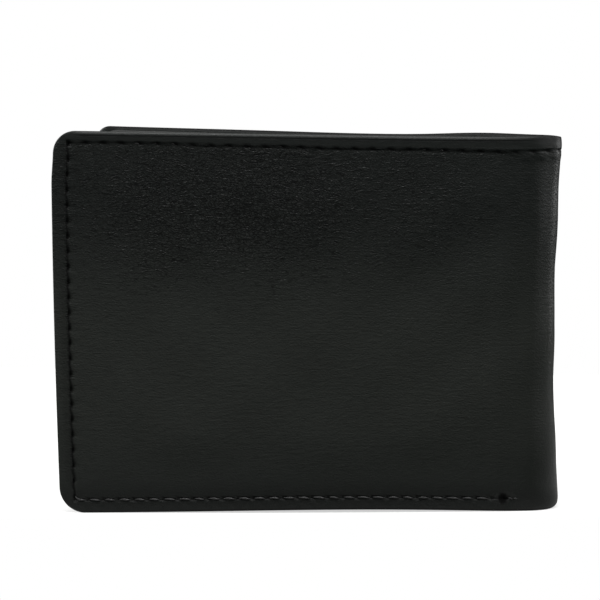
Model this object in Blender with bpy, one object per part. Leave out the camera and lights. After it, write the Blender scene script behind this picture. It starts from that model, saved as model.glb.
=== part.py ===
"""A folded leather wallet that stands on its long edges, slightly open.

Metres, +Z up. The fold is at +X, the free edges are at -X, and the front half is on the -Y side.
Each half is a stack of flat layers, from the outer leather inwards: lining, partition, card pockets.
Only the outer leather and its lining go round the fold.
"""
import math

import bmesh
import bpy
from mathutils import Vector

# Overall sizes of the folded wallet
wallet_height = 0.085
front_length = 0.114
rear_length = 0.110
opening_angle = math.radians(12)
top_corner_radius = 0.005
bottom_corner_radius = 0.006

# How the worn wallet has settled out of square
fold_droop = 0.0015
foot_setback = 0.0012

# Outer leather, its turned top hem and its lining
leather_thickness = 0.0011
leather_edge_radius = 0.0003
hem_height = 0.008
hem_thickness = 0.0005
lining_thickness = 0.0003
lining_side_inset = 0.0012

# Clearances between pieces that touch on the real wallet
layer_gap = 0.00025
split_gap = 0.0003
bill_gap = 0.0006
fold_clearance = 0.00067
cut_overrun = 0.0001

# Partition that closes the bill compartment on its inner side
partition_thickness = 0.0008
partition_edge_radius = 0.0002
partition_start = 0.0025
partition_side_inset = 0.0008
partition_top_drop = 0.0008
inner_corner_radius = 0.0025

# Card pockets, each with a fabric tee below its leather mouth
backing_thickness = 0.0003
backing_top_drop = 0.011
tee_thickness = 0.00025
tee_overlap = 0.002
pocket_thickness = 0.0008
pocket_edge_radius = 0.0002
pocket_corner_radius = 0.0008
pocket_setback = 0.001
pocket_side_inset = 0.0012
top_mouth_drop = 0.017
mouth_step = 0.012

# Seams
thread_radius = 0.00022
thread_clearance = 0.00008
stitch_rise = 0.00016
outer_stitch_rise = 0.00008
thread_sink = 0.00003
channel_clearance = 0.0004
top_stitch_pitch = 0.0040
edge_stitch_pitch = 0.0034
pocket_stitch_pitch = 0.0036
top_seam_inset = 0.0030
side_seam_inset = 0.0036
bottom_seam_inset = 0.0029
seam_corner_radius = 0.0015
seam_end_margin = 0.0020

# Faceting
corner_steps = 6
seam_corner_steps = 4
fold_steps = 14
edge_segments = 2
sharp_angle = math.radians(40)

# Depths of the layers below a half's outer face
lining_depth = leather_thickness + layer_gap
partition_depth = lining_depth + lining_thickness + bill_gap
backing_depth = partition_depth + partition_thickness + layer_gap
first_tee_depth = backing_depth + backing_thickness + layer_gap
second_tee_depth = first_tee_depth + tee_thickness + layer_gap
lowest_pocket_depth = second_tee_depth + tee_thickness + layer_gap
seam_height = thread_radius + thread_clearance + stitch_rise + thread_radius
channel_depth = thread_radius + thread_clearance + outer_stitch_rise + thread_radius + thread_sink
channel_half_width = thread_radius + channel_clearance
stack_depth = lowest_pocket_depth + pocket_thickness + seam_height

# Where the fold's two axes lie. Each half turns about its own axis, and the axis is set so that
# the leather round the fold has the same length whether the wallet is shut or open.
fold_radius = stack_depth + fold_clearance
half_angle = opening_angle / 2
fold_sweep = math.pi / 2 - half_angle
axis_along = fold_radius * fold_sweep / 2
axis_x = axis_along / math.tan(fold_sweep / 2)
axis_depth = fold_radius - axis_x * math.sin(half_angle) - axis_along * math.cos(half_angle)
half_length = front_length - fold_radius
half_split = split_gap / 2

front = 1
rear = -1


def clear_scene():
    """Removes whatever the scene holds at the start."""
    for obj in list(bpy.data.objects):
        bpy.data.objects.remove(obj, do_unlink=True)


def make_material(name, colour, roughness):
    """A plain Principled material; colour is linear RGB."""
    material = bpy.data.materials.new(name)
    material.use_nodes = True
    shader = material.node_tree.nodes["Principled BSDF"]
    shader.inputs["Base Color"].default_value = (*colour, 1.0)
    shader.inputs["Roughness"].default_value = roughness
    shader.inputs["Metallic"].default_value = 0.0
    material.diffuse_color = (*colour, 1.0)
    return material


def make_axis(name, place, turn=0.0, parent=None):
    """An empty that carries the pieces of one half, or of the fold."""
    axis = bpy.data.objects.new(name, None)
    axis.location = place
    axis.rotation_euler = (0.0, 0.0, turn)
    axis.parent = parent
    bpy.context.scene.collection.objects.link(axis)
    return axis


def settled(along, height):
    """Where a point of a half lies: the top edge droops to the fold, and the free edge's foot draws in."""
    up_share = height / wallet_height
    along_share = along / half_length
    new_along = along - foot_setback * along_share * (1 - up_share)
    new_height = height - fold_droop * up_share * (1 - along_share)
    return new_along, new_height


def arc(centre, radius, start, end, steps):
    """Points of an arc in a plane, from angle start to angle end."""
    points = []
    for i in range(steps + 1):
        angle = start + (end - start) * i / steps
        points.append((centre[0] + radius * math.cos(angle), centre[1] + radius * math.sin(angle)))
    return points


def panel_outline(start, end, low, high, start_radius, top_radius, bottom_radius):
    """A rectangle with rounded corners; start is its fold side and end its free side."""
    right = math.pi / 2
    turn = 2 * right
    outline = arc((end - bottom_radius, low + bottom_radius), bottom_radius, -right, 0, corner_steps)
    outline += arc((end - top_radius, high - top_radius), top_radius, 0, right, corner_steps)
    if start_radius > 0:
        across = start + start_radius
        outline += arc((across, high - start_radius), start_radius, right, turn, corner_steps)
        outline += arc((across, low + start_radius), start_radius, turn, turn + right, corner_steps)
    else:
        outline += [(start, high), (start, low)]
    return outline


def add_object(name, data, material, parent):
    """Links an object with its material under its axis."""
    data.materials.append(material)
    obj = bpy.data.objects.new(name, data)
    obj.parent = parent
    bpy.context.scene.collection.objects.link(obj)
    return obj


def prism(name, outline, place, sweep, material, parent):
    """A closed solid: an outline, placed in space point by point and swept straight."""
    mesh = bpy.data.meshes.new(name)
    shape = bmesh.new()
    lower = shape.faces.new([shape.verts.new(place(point)) for point in outline])
    swept = bmesh.ops.extrude_face_region(shape, geom=[lower], use_keep_orig=True)
    moved = [item for item in swept["geom"] if isinstance(item, bmesh.types.BMVert)]
    bmesh.ops.translate(shape, verts=moved, vec=sweep)
    bmesh.ops.recalc_face_normals(shape, faces=shape.faces)
    shape.to_mesh(mesh)
    shape.free()
    mesh.shade_smooth()
    mesh.set_sharp_from_angle(angle=sharp_angle)
    return add_object(name, mesh, material, parent)


def round_edges(obj, radius):
    """Rounds the sharp edges of a slab."""
    bevel = obj.modifiers.new("round_edges", "BEVEL")
    bevel.width = radius
    bevel.segments = edge_segments
    bevel.limit_method = "ANGLE"
    bevel.angle_limit = sharp_angle
    bevel.harden_normals = False


def combine(obj, helper, operation):
    """Adds a helper solid to an object, or cuts it away, and leaves the helper out of the result."""
    helper.hide_render = True
    helper.display_type = "WIRE"
    change = obj.modifiers.new(helper.name, "BOOLEAN")
    change.operation = operation
    change.solver = "EXACT"
    change.object = helper


def slab(name, side, outline, depth, thickness, material, parent):
    """A flat layer of a half; depth is measured inwards from the half's outer face."""
    outer_y = side * (axis_depth - depth)

    def place(point):
        along, height = settled(*point)
        return Vector((axis_along + along, outer_y, height))

    return prism(name, outline, place, Vector((0.0, -side * thickness, 0.0)), material, parent)


def fold_shell(name, outer_radius, thickness, low, high, material, parent, end_gap=half_split):
    """A layer that goes round the fold, up to a gap before the ends of the two halves' layers."""
    reach = fold_sweep - end_gap / outer_radius
    outline = arc((0.0, 0.0), outer_radius, -reach, reach, fold_steps)
    outline += arc((0.0, 0.0), outer_radius - thickness, reach, -reach, fold_steps)
    foot = settled(0.0, low)[1]
    top = settled(0.0, high)[1]

    def place(point):
        return Vector((point[0] - axis_x, point[1] + axis_along, foot))

    return prism(name, outline, place, Vector((0.0, 0.0, top - foot)), material, parent)


def even_samples(route, pitch):
    """Points half a stitch apart along a route, an odd number of them."""
    lengths = [0.0]
    for here, there in zip(route, route[1:]):
        lengths.append(lengths[-1] + math.dist(here, there))
    stitches = max(1, round(lengths[-1] / pitch))
    samples = []
    leg = 0
    for i in range(2 * stitches + 1):
        wanted = lengths[-1] * i / (2 * stitches)
        while leg < len(route) - 2 and lengths[leg + 1] < wanted:
            leg += 1
        share = (wanted - lengths[leg]) / (lengths[leg + 1] - lengths[leg])
        samples.append([a + (b - a) * share for a, b in zip(route[leg], route[leg + 1])])
    return samples


def thread(name, points, material, parent):
    """One unbroken thread through the given points."""
    curve = bpy.data.curves.new(name, "CURVE")
    curve.dimensions = "3D"
    curve.bevel_depth = thread_radius
    curve.bevel_resolution = 0
    curve.use_fill_caps = True
    spline = curve.splines.new("POLY")
    spline.points.add(len(points) - 1)
    for place, point in zip(spline.points, points):
        place.co = (*point, 1.0)
    return add_object(name, curve, material, parent)


def stitch_lift(i, rise):
    """How far the thread's middle stands off its bed: low at each needle hole, high between two."""
    return thread_radius + thread_clearance + rise * (i % 2)


def outer_lift(i):
    """The same, from a half's outer face; it is negative, because the thread lies in its channel."""
    return stitch_lift(i, outer_stitch_rise) - channel_depth


def channel_outline(route):
    """The outline of the channel that a seam lies in, which the tight thread pulls into the leather."""
    left = []
    right = []
    for i, point in enumerate(route):
        before = Vector(route[max(i - 1, 0)])
        after = Vector(route[min(i + 1, len(route) - 1)])
        along = (after - before).normalized()
        across = Vector((-along.y, along.x)) * channel_half_width
        left.append(tuple(Vector(point) + across))
        right.append(tuple(Vector(point) - across))
    return left + right[::-1]


def outer_seam(name, side, route, pitch, material, parent):
    """A seam in the outer face of a half, along a route of (along, height) points."""
    points = []
    for i, sample in enumerate(even_samples(route, pitch)):
        along, height = settled(*sample)
        points.append((axis_along + along, side * (axis_depth + outer_lift(i)), height))
    return thread(name, points, material, parent)


def pocket_seam(name, side, route, heights, material, parent):
    """A seam on the pockets' faces, which steps back to the top pocket's face above its mouth line."""
    points = []
    for i, sample in enumerate(even_samples(route, pocket_stitch_pitch)):
        along, height = settled(*sample)
        depth = lowest_pocket_depth + pocket_thickness
        if sample[1] > heights[1]:
            depth = second_tee_depth + pocket_thickness
        lift = stitch_lift(i, stitch_rise)
        points.append((axis_along + along, side * (axis_depth - depth - lift), height))
    return thread(name, points, material, parent)


def bent_route(corners, radius):
    """A route through corner points, with each inner corner rounded."""
    route = [corners[0]]
    for before, corner, after in zip(corners, corners[1:], corners[2:]):
        incoming = (Vector(before) - Vector(corner)).normalized()
        outgoing = (Vector(after) - Vector(corner)).normalized()
        centre = Vector(corner) + (incoming + outgoing) * radius
        for i in range(seam_corner_steps + 1):
            turn = math.pi / 2 * i / seam_corner_steps
            offset = -outgoing * math.cos(turn) - incoming * math.sin(turn)
            route.append(tuple(centre + offset * radius))
    route.append(corners[-1])
    return route


def make_outer_leather(name, side, length, seam_corners, material, parent):
    """The outer panel of a half: its hem, the strip turned in along the top, and its seams' channel."""
    outline = panel_outline(
        half_split, length, 0.0, wallet_height, 0.0, top_corner_radius, bottom_corner_radius
    )
    panel = slab(name, side, outline, 0.0, leather_thickness, material, parent)
    round_edges(panel, leather_edge_radius)
    hem_low = wallet_height - hem_height
    hem_high = wallet_height - leather_edge_radius
    hem_end = length - top_corner_radius
    hem_outline = [(half_split, hem_low), (hem_end, hem_low), (hem_end, hem_high), (half_split, hem_high)]
    hem_depth = leather_thickness - cut_overrun
    hem = slab(name + "_hem", side, hem_outline, hem_depth, hem_thickness + cut_overrun, material, parent)
    combine(panel, hem, "UNION")
    cut = channel_outline(bent_route(seam_corners, seam_corner_radius))
    channel = slab(name + "_channel", side, cut, -cut_overrun, channel_depth + cut_overrun, material, parent)
    combine(panel, channel, "DIFFERENCE")


def make_half(word, side, length, look, parent):
    """Every piece of one half; length runs from the end of the fold to the free edge."""
    top_height = wallet_height - top_seam_inset
    side_along = length - side_seam_inset
    foot_seam_end = partition_start + seam_end_margin
    channel_corners = [
        (half_split - cut_overrun, top_height),
        (side_along, top_height),
        (side_along, bottom_seam_inset),
        (foot_seam_end - channel_clearance, bottom_seam_inset),
    ]
    make_outer_leather("outer_leather_" + word, side, length, channel_corners, look["leather"], parent)

    lining_high = wallet_height - hem_height - split_gap
    lining_end = length - lining_side_inset
    lining_outline = panel_outline(
        half_split, lining_end, lining_side_inset, lining_high, 0.0, inner_corner_radius, bottom_corner_radius
    )
    slab("bill_lining_" + word, side, lining_outline, lining_depth, lining_thickness, look["lining"], parent)

    inner_end = length - partition_side_inset
    partition_outline = panel_outline(
        partition_start,
        inner_end,
        partition_side_inset,
        wallet_height - partition_top_drop,
        inner_corner_radius,
        top_corner_radius,
        bottom_corner_radius,
    )
    name = "partition_" + word
    partition = slab(
        name, side, partition_outline, partition_depth, partition_thickness, look["leather"], parent
    )
    round_edges(partition, partition_edge_radius)

    pocket_end = length - pocket_side_inset
    pocket_low = pocket_side_inset
    pocket_start = partition_start + pocket_setback
    highest_mouth = wallet_height - top_mouth_drop
    heights = [highest_mouth - 2 * mouth_step, highest_mouth - mouth_step, highest_mouth]

    def pocket_layer(name, low, high, depth, thickness, material):
        """One layer of the stack of card pockets; the layers that reach the foot have round corners there."""
        foot_radius = bottom_corner_radius if low == pocket_low else pocket_corner_radius
        outline = panel_outline(pocket_start, pocket_end, low, high, 0.0, pocket_corner_radius, foot_radius)
        return slab(name + "_" + word, side, outline, depth, thickness, look[material], parent)

    fabric_layers = [
        ("pocket_backing", wallet_height - backing_top_drop, backing_depth, backing_thickness),
        ("top_pocket_tee", heights[2] - tee_overlap, first_tee_depth, tee_thickness),
        ("middle_pocket_tee", heights[1] - tee_overlap, second_tee_depth, tee_thickness),
    ]
    for name, high, depth, thickness in fabric_layers:
        pocket_layer(name, pocket_low, high, depth, thickness, "lining")
    mouths = [
        ("top_pocket", heights[1] + split_gap, heights[2], second_tee_depth),
        ("middle_pocket", heights[0] + split_gap, heights[1], lowest_pocket_depth),
        ("lowest_pocket", pocket_low, heights[0], lowest_pocket_depth),
    ]
    for name, low, high, depth in mouths:
        mouth = pocket_layer(name, low, high, depth, pocket_thickness, "leather")
        round_edges(mouth, pocket_edge_radius)

    top_route = [(half_split, top_height), (side_along - seam_corner_radius, top_height)]
    outer_seam("top_seam_" + word, side, top_route, top_stitch_pitch, look["thread"], parent)
    edge_corners = [
        (side_along, top_height - seam_corner_radius),
        (side_along, bottom_seam_inset),
        (foot_seam_end, bottom_seam_inset),
    ]
    edge_route = bent_route(edge_corners, seam_corner_radius)
    outer_seam("edge_seam_" + word, side, edge_route, edge_stitch_pitch, look["thread"], parent)

    seam_top = heights[2] - seam_end_margin
    fold_side = pocket_start + seam_end_margin
    pocket_corners = [
        (fold_side, seam_top),
        (fold_side, bottom_seam_inset),
        (side_along, bottom_seam_inset),
        (side_along, seam_top),
    ]
    pocket_route = bent_route(pocket_corners, seam_corner_radius)
    pocket_seam("pocket_seam_" + word, side, pocket_route, heights, look["thread"], parent)


def make_fold(look, parent):
    """The pieces that go round the fold: outer leather with its hem, lining and top seam."""
    leather = fold_shell(
        "outer_leather_fold", fold_radius, leather_thickness, 0.0, wallet_height, look["leather"], parent
    )
    hem = fold_shell(
        "outer_leather_fold_hem",
        fold_radius - leather_thickness + cut_overrun,
        hem_thickness + cut_overrun,
        wallet_height - hem_height,
        wallet_height - leather_edge_radius,
        look["leather"],
        parent,
    )
    combine(leather, hem, "UNION")
    top_seam_height = wallet_height - top_seam_inset
    channel = fold_shell(
        "outer_leather_fold_channel",
        fold_radius + cut_overrun,
        channel_depth + cut_overrun,
        top_seam_height - channel_half_width,
        top_seam_height + channel_half_width,
        look["leather"],
        parent,
        end_gap=0.0,
    )
    combine(leather, channel, "DIFFERENCE")
    fold_shell(
        "bill_lining_fold",
        fold_radius - lining_depth,
        lining_thickness,
        lining_side_inset,
        wallet_height - hem_height - split_gap,
        look["lining"],
        parent,
    )
    reach = fold_sweep - half_split / fold_radius
    stitches = max(1, round(2 * reach * fold_radius / top_stitch_pitch))
    points = []
    for i in range(2 * stitches + 1):
        angle = -reach + reach * i / stitches
        radius = fold_radius + outer_lift(i)
        x = radius * math.cos(angle) - axis_x
        y = radius * math.sin(angle) + axis_along
        points.append((x, y, settled(0.0, top_seam_height)[1]))
    thread("top_seam_fold", points, look["thread"], parent)


def centre_on_origin(root):
    """Moves the wallet so that the middle of its footprint is the origin."""
    bpy.context.view_layer.update()
    graph = bpy.context.evaluated_depsgraph_get()
    points = []
    for obj in bpy.data.objects:
        if obj.type == "EMPTY" or obj.hide_render:
            continue
        evaluated = obj.evaluated_get(graph)
        points += [obj.matrix_world @ vertex.co for vertex in evaluated.to_mesh().vertices]
        evaluated.to_mesh_clear()
    for side in range(2):
        values = [point[side] for point in points]
        root.location[side] -= (min(values) + max(values)) / 2


def main():
    clear_scene()
    look = {
        "leather": make_material("black_leather", (0.0128, 0.0137, 0.0128), 0.48),
        "lining": make_material("black_lining_fabric", (0.0100, 0.0100, 0.0105), 0.85),
        "thread": make_material("black_thread", (0.0080, 0.0080, 0.0085), 0.60),
    }
    root = make_axis("wallet", (0.0, 0.0, 0.0))
    front_axis = make_axis("front_half", (axis_x, -axis_along, 0.0), math.pi + half_angle, root)
    fold_axis = make_axis("fold", (axis_x, -axis_along, 0.0), 0.0, root)
    rear_axis = make_axis("rear_half", (0.0, 2 * axis_along, 0.0), math.pi - half_angle, fold_axis)
    make_half("front", front, front_length - fold_radius, look, front_axis)
    make_half("rear", rear, rear_length - fold_radius, look, rear_axis)
    make_fold(look, fold_axis)
    centre_on_origin(root)


main()
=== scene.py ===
# %% [markdown]
# # Dressing a folding leather wallet
#
# The CAD model gives every layer of this wallet its place. This lesson builds the pieces that are
# seen: supple grained leather with sewn channels, twisted thread, woven lining and card pockets.
# Nothing is fitted by eye to the CAD. Each piece is laid out flat, as a leather worker would cut it,
# and one function then lays it on the half of the wallet that it belongs to.

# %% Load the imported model
import math

import bpy
import numpy as np
from mathutils import Matrix, Vector


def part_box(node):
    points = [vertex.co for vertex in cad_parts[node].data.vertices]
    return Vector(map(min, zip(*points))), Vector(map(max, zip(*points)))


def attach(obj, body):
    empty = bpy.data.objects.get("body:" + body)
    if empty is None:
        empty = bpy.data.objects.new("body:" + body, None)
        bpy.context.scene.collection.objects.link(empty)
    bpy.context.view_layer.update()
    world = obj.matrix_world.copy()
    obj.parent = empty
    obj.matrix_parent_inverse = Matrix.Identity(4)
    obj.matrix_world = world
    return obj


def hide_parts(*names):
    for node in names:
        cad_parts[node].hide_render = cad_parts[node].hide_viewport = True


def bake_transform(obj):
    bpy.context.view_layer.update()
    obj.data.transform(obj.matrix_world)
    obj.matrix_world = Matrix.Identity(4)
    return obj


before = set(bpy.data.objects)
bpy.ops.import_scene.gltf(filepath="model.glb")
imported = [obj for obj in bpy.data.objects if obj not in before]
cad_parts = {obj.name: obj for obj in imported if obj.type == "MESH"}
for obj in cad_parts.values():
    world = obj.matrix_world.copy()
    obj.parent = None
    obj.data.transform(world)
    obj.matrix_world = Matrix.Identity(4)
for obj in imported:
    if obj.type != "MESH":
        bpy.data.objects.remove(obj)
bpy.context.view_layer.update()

# %% [markdown]
# Leather goods are measured in millimetres, so this script works in them and turns to metres only
# where a mesh is made. The driving sizes are the same as the CAD's. The place of the fold comes from
# the frame: the outer leather goes round a cylinder there, whose far side is the model's right edge.

# %% Sizes in millimetres
mm = 0.001
wallet_height = 85.0
front_length = 114.0
rear_length = 110.0
fold_radius = 7.0
half_angle = math.radians(6.0)
fold_sweep = math.pi / 2 - half_angle
fold_run = fold_radius * fold_sweep
half_length = front_length - fold_radius
fold_droop = 1.5

front = 1
rear = -1
length_of = {front: front_length - fold_radius, rear: rear_length - fold_radius}
word_of = {front: "front", rear: "rear"}

fold_low, fold_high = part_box("outer_leather_fold")
fold_x = fold_high.x / mm - fold_radius
fold_y = (fold_low.y + fold_high.y) / 2 / mm
print("the fold's centre line is at", round(fold_x, 3), round(fold_y, 3), "mm")

# %% [markdown]
# A leather half isn't a flat board. On the photographed wallet the top edge droops towards the fold,
# the free edge draws in at the foot, both halves bow a little the same way, the foot arches off the
# table, and the fold is pinched in at mid height, where a hand squeezes it. A cloth simulation could
# bend it, but not as the photograph shows, so each bend is a small function of the flat place.

# %% The bends of a half
bow_of = {front: 0.8, rear: -1.2}
fold_pinch = 1.25
fold_ease = 1.1
free_edge_pull = 0.25
foot_draw_in = 1.45
top_draw_in = 0.42
foot_arch = 0.62
height_share = 1.0065


def dip(distance, width):
    """A smooth dent, 1 in its middle."""
    return np.exp(-((distance / width) ** 2))


def smooth(share):
    """A share that is kept between 0 and 1, with soft ends."""
    share = np.clip(share, 0, 1)
    return share * share * (3 - 2 * share)


def draw_in(up):
    """How far the free edge is drawn towards the fold: most at the foot, and a little at the top."""
    at_foot = (1 - up / wallet_height) ** 2
    return free_edge_pull + foot_draw_in * at_foot + top_draw_in * smooth((up - 73.0) / 8.0)


def top_rise(side, along, share):
    """How far the top edge stands above a straight line; the rear half's sags and rises more."""
    rise = 0.30 * dip(along + fold_run, 20.0) - 0.25 * dip(along + fold_run, 4.0)
    if side == rear:
        rise = rise + 0.45 * dip(along - 12.0, 11.0) - 0.25 * dip(along - 38.0, 22.0) + 0.2 * share ** 6
    return rise


def pinch(up):
    """How far the fold is pinched in. It stands out again under the hem, and turns in at the very foot."""
    up_share = up / wallet_height
    pinched = fold_pinch * 4 * up_share * (1 - up_share) - 0.25 * up_share ** 4
    return pinched - 0.25 * dip(up - 79.5, 4.5) + 0.5 * dip(up, 1.2)


print("the free edge's foot is drawn in by", draw_in(0.0), "mm; the fold is pinched by",
      round(pinch(wallet_height / 2), 2), "mm")

# %% [markdown]
# If every layer of a half goes through one function that knows these bends, layers that are apart in
# the CAD stay apart here. The function is given a flat place in millimetres: how far along the skin
# from the start of the fold, below zero where the skin goes round it, how far up from the foot, and
# how deep below the skin's outer face.


# %% Lay a flat place on a half
def on_half(side, along, up, depth):
    """Where a place of the flat pattern is on the standing wallet, in mm."""
    along, up, depth = np.broadcast_arrays(*(np.asarray(v, float) for v in (along, up, depth)))
    flat = np.maximum(along, 0.0)
    up_share = up / wallet_height
    share = flat / half_length
    settled = flat - share * draw_in(up)
    arch = foot_arch * (1 - up_share) ** 3 * np.sin(np.pi * np.clip(share, 0, 1) ** 0.75) ** 2
    height = height_share * (up - fold_droop * up_share * (1 - share))
    height = height + up_share ** 4 * top_rise(side, along, share) + arch
    turn = np.maximum(-along, 0.0) / fold_radius
    depth = depth + fold_ease * dip(along + 5.0, 8.0) * (1 + np.cos(np.pi * turn / fold_sweep)) / 2
    out = bow_of[side] * np.sin(np.pi * np.clip(share, 0, 1)) ** 2 - depth
    x = fold_x + (fold_radius + out) * math.sin(half_angle) - settled * math.cos(half_angle)
    y = -side * ((fold_radius + out) * math.cos(half_angle) + settled * math.sin(half_angle))
    squeeze = pinch(up) * np.sin(turn / fold_sweep * math.pi / 2) ** 2
    round_x = fold_x + (fold_radius - depth) * np.cos(fold_sweep - turn) - squeeze
    round_y = -side * (fold_radius - depth) * np.sin(fold_sweep - turn)
    in_fold = along < 0
    return np.stack([np.where(in_fold, round_x, x), fold_y + np.where(in_fold, round_y, y), height], -1)


print("front free edge's top corner:", on_half(front, half_length, wallet_height, 0.0).round(2))

# %% [markdown]
# The pattern pieces are rectangles with rounded corners. An outline is kept as its four sides and its
# four corner radii. Two questions about it come up for every piece: where a row of points starts and
# ends once the corners are rounded, and how far a place lies from the rim, because rims are thinner.


# %% Outlines of pattern pieces
def outline(start, end, low, high, start_radius, top_radius, foot_radius, open_start=False):
    """A rectangle with rounded corners; an open start is where the piece goes on round the fold."""
    return {
        "start": start, "end": end, "low": low, "high": high, "open_start": open_start,
        "corners": [
            (start, low, 1, 1, start_radius), (start, high, 1, -1, start_radius),
            (end, low, -1, 1, foot_radius), (end, high, -1, -1, top_radius),
        ],
    }


def row_insets(shape, up):
    """How far each row's start and end stand in from the straight sides, at the rounded corners."""
    insets = {1: np.zeros_like(up), -1: np.zeros_like(up)}
    for _, level, side, way, radius in shape["corners"]:
        into = radius - (up - level) * way
        inside = (into > 0) & (radius > 0)
        drop = radius - np.sqrt(np.clip(radius ** 2 - np.clip(into, 0, radius) ** 2, 0, None))
        insets[side] = np.where(inside, drop, insets[side])
    return insets[1], insets[-1]


def rim_distance(shape, along, up):
    """How far places lie inside the outline's rim."""
    near = np.minimum(np.minimum(up - shape["low"], shape["high"] - up), shape["end"] - along)
    if not shape["open_start"]:
        near = np.minimum(near, along - shape["start"])
    for place, level, side, way, radius in shape["corners"]:
        if radius > 0:
            across = radius - (along - place) * side
            over = radius - (up - level) * way
            in_corner = (across > 0) & (over > 0)
            near = np.where(in_corner, radius - np.hypot(across, over), near)
    return np.maximum(near, 0.0)


trial = outline(0.0, 20.0, 0.0, 10.0, 0.0, 5.0, 5.0)
print("at a 5 mm corner the last row ends", row_insets(trial, np.array([10.0]))[1], "mm early")

# %% [markdown]
# A fine surface is needed only near seams and rims. So the spacing of the rows and columns is graded:
# each stretch gets its own, and a rim that is rounded gets points at even angles of its quarter round.


# %% Graded spacing
rim_steps = 5


def graded(*stops):
    """Places along a line; stops are (place, spacing up to the next stop), and the last is a place."""
    places = []
    for (here, spacing), there in zip(stops[:-1], [s[0] for s in stops[1:-1]] + [stops[-1]]):
        steps = max(1, math.ceil((there - here) / spacing - 1e-6))
        places += list(np.linspace(here, there, steps + 1)[:-1])
    return np.array(places + [stops[-1]])


def with_rims(places, low_round, high_round):
    """The same places, with a quarter round's worth of points at either end."""
    turns = np.sin(np.linspace(0, math.pi / 2, rim_steps + 1))
    low, high = places[0], places[-1]
    kept = places[(places > low + low_round + 1e-6) & (places < high - high_round - 1e-6)]
    lows = low + low_round * (1 - turns[::-1]) if low_round else [low]
    highs = high - high_round * (1 - turns) if high_round else [high]
    return np.concatenate([lows, kept, highs])


print("graded places:", graded((0.0, 0.5), (1.0, 1.0), 3.0))

# %% [markdown]
# A layer is a closed shell: a fine face on the side that is seen, a coarse face on the side that
# lies against the next layer, and a rim that joins the two. The rim's two loops have different
# numbers of points, so they are closed like a zip: the loop that is behind takes the next step.


# %% Grids and their rims
def grid_places(shape, columns, rows):
    """Along and up of a grid whose columns are pressed together where the outline's corners are round."""
    start_inset, end_inset = row_insets(shape, rows)
    hold = 2 * max(corner[4] for corner in shape["corners"]) + 1.0
    from_end = np.clip(1 - (shape["end"] - columns) / hold, 0, 1)
    from_start = np.clip(1 - (columns - shape["start"]) / hold, 0, 1)
    along = columns[None, :] + start_inset[:, None] * from_start - end_inset[:, None] * from_end
    return along, np.repeat(rows[:, None], len(columns), 1)


def grid_faces(count_up, count_along, first):
    """Quads of a grid whose points start at index first."""
    corner = first + np.arange(count_up - 1)[:, None] * count_along + np.arange(count_along - 1)[None, :]
    return np.stack([corner, corner + 1, corner + count_along + 1, corner + count_along], -1).reshape(-1, 4)


def grid_rim(points, count_up, count_along, first):
    """The rim of a grid as (index, place round the rim from 0 to 4), one for each step."""
    index = first + np.arange(count_up * count_along).reshape(count_up, count_along)
    rim = []
    for number, side in enumerate([index[0], index[:, -1], index[-1, ::-1], index[::-1, 0]]):
        steps = np.linalg.norm(np.diff(points[side - first], axis=0), axis=1)
        shares = np.concatenate([[0.0], np.cumsum(steps)]) / max(steps.sum(), 1e-9)
        rim += [(int(i), number + share) for i, share in zip(side[:-1], shares[:-1])]
    return rim


print("a grid of 3 rows by 4 has", len(grid_faces(3, 4, 0)), "quads and",
      len(grid_rim(np.zeros((12, 3)), 3, 4, 0)), "rim points")


# %% Zip two rims together
def zip_rims(first, second):
    """Triangles between two rims with different numbers of points."""
    first, second = first + [(first[0][0], 4.0)], second + [(second[0][0], 4.0)]
    faces, i, j = [], 0, 0
    while i < len(first) - 1 or j < len(second) - 1:
        if j == len(second) - 1 or (i < len(first) - 1 and first[i + 1][1] <= second[j + 1][1]):
            faces.append((first[i][0], first[i + 1][0], second[j][0]))
            i += 1
        else:
            faces.append((first[i][0], second[j + 1][0], second[j][0]))
            j += 1
    return faces


print("rims of 1 and 2 points take", len(zip_rims([(0, 0.0)], [(1, 0.0), (2, 2.0)])), "triangles")


# %% Points to a piece
def quarter_round(distance, radius):
    """How far a rounded rim falls away at some distance inside it."""
    into = np.clip(radius - distance, 0, radius)
    return radius - np.sqrt(np.clip(radius ** 2 - into ** 2, 0, None))


def mesh_piece(name, points, faces, places, material, painted_shade=None):
    """A smooth-shaded object from points in mm; places keeps where each point lies on the flat hide."""
    mesh = bpy.data.meshes.new(name)
    mesh.from_pydata((points * mm).tolist(), [], [list(map(int, face)) for face in faces])
    flat = mesh.attributes.new("flat_mm", "FLOAT_VECTOR", "POINT")
    flat.data.foreach_set("vector", np.asarray(places, np.float32).ravel())
    if painted_shade is not None:
        mesh.attributes.new("painted_shade", "FLOAT", "POINT").data.foreach_set("value", painted_shade.astype(np.float32))
    mesh.materials.append(material)
    obj = bpy.data.objects.new(name, mesh)
    bpy.context.scene.collection.objects.link(obj)
    bpy.context.view_layer.objects.active = obj
    obj.select_set(True)
    bpy.ops.object.mode_set(mode="EDIT")
    bpy.ops.mesh.select_all(action="SELECT")
    bpy.ops.mesh.normals_make_consistent(inside=False)
    bpy.ops.object.mode_set(mode="OBJECT")
    obj.select_set(False)
    mesh.shade_smooth()
    return obj


def hide_place(side, along, up, deep=0.0):
    """Where places of a half lie on the whole flat hide, measured from the middle of the fold."""
    return np.stack([side * (along + fold_run), up, deep + 0 * up], -1).reshape(-1, 3)


print("a 0.5 mm rim falls away by", quarter_round(0.0, 0.5), "mm at its edge")

# %% [markdown]
# The far face of a layer stands a little inside the near one's rim, so that the rim is seen as one
# soft curve. Near the top, points of the far face get painted shade: a dark line for the inside of
# the top edge, which lies in shade.

# %% One closed layer
rim_gap = 0.10
# Painted shade on the far face above this height.
far_shade_from = 84.45
far_shade_share = 0.75


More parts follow.
